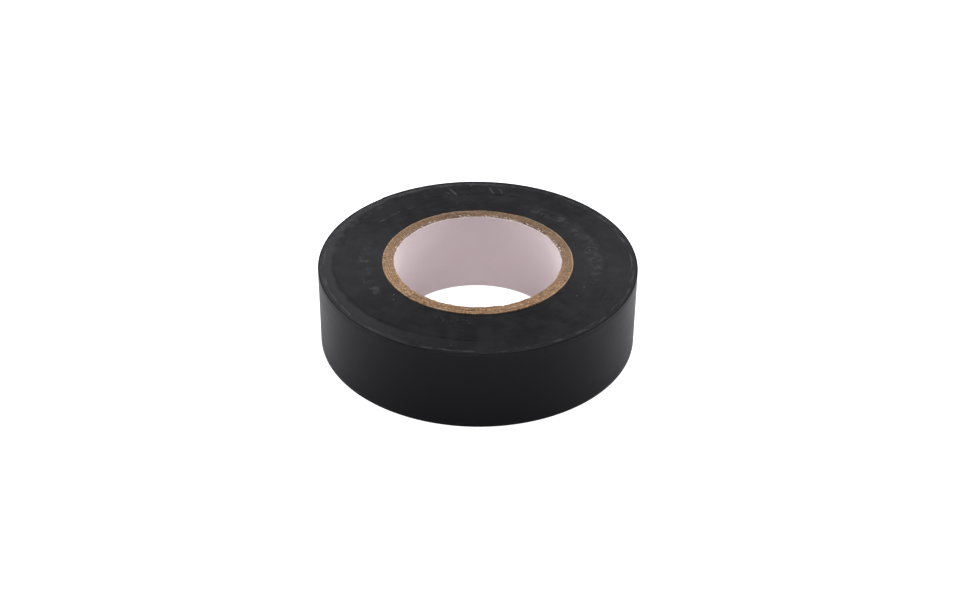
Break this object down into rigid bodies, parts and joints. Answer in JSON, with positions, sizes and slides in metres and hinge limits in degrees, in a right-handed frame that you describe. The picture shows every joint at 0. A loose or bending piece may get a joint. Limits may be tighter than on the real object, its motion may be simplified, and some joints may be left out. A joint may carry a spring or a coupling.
{
  "type": "electrical tape roll",
  "caption": "Roll of black PVC electrical insulating tape wound on a laminated paperboard core with a white-lined bore and a free end that peels.",
  "frame": {"origin": "on the roll's axis, in the plane of the face that it rests on", "axes": "+Z along the roll's axis, up out of the face that shows; the free end is cut off on the +Y side and lifts away from the roll"},
  "size_m": [0.0718, 0.0719, 0.0195],
  "materials": {
    "tape_black": "satin",
    "core_board": "matte",
    "liner_paper": "matte"
  },
  "bodies": {
    "roll": {"core_liner": "liner_paper", "core_ply_1": "core_board", "core_ply_2": "core_board", "core_ply_3": "core_board", "core_ply_4": "core_board", "core_ply_5": "core_board", "wound_tape": "tape_black"},
    "free_stretch_1": {"free_end_1": "tape_black"},
    "free_stretch_2": {"free_end_2": "tape_black"},
    "free_stretch_3": {"free_end_3": "tape_black"},
    "free_stretch_4": {"free_end_4": "tape_black"},
    "free_stretch_5": {"free_end_5": "tape_black"},
    "free_stretch_6": {"free_end_6": "tape_black"}
  },
  "joints": [
    {"name": "free_end_peel", "type": "hinge", "parent": "roll", "child": "free_stretch_1", "pos_m": [-0.00253, 0.03591, 0.00945], "axis": [0, 0, -1], "range_deg": [0, 15]},
    {"name": "free_end_bend_2", "type": "hinge", "parent": "free_stretch_1", "child": "free_stretch_2", "pos_m": [-0.00628, 0.03546, 0.00945], "axis": [0, 0, -1], "range_deg": [0, 15]},
    {"name": "free_end_bend_3", "type": "hinge", "parent": "free_stretch_2", "child": "free_stretch_3", "pos_m": [-0.00995, 0.03461, 0.00945], "axis": [0, 0, -1], "range_deg": [0, 15]},
    {"name": "free_end_bend_4", "type": "hinge", "parent": "free_stretch_3", "child": "free_stretch_4", "pos_m": [-0.01352, 0.03338, 0.00945], "axis": [0, 0, -1], "range_deg": [0, 15]},
    {"name": "free_end_bend_5", "type": "hinge", "parent": "free_stretch_4", "child": "free_stretch_5", "pos_m": [-0.01693, 0.03179, 0.00945], "axis": [0, 0, -1], "range_deg": [0, 15]},
    {"name": "free_end_bend_6", "type": "hinge", "parent": "free_stretch_5", "child": "free_stretch_6", "pos_m": [-0.02017, 0.02984, 0.00945], "axis": [0, 0, -1], "range_deg": [0, 15]}
  ],
  "couplings": [
    {"joint": "free_end_bend_2", "follows": "free_end_peel", "ratio": 1},
    {"joint": "free_end_bend_3", "follows": "free_end_peel", "ratio": 1},
    {"joint": "free_end_bend_4", "follows": "free_end_peel", "ratio": 1},
    {"joint": "free_end_bend_5", "follows": "free_end_peel", "ratio": 1},
    {"joint": "free_end_bend_6", "follows": "free_end_peel", "ratio": 1}
  ]
}
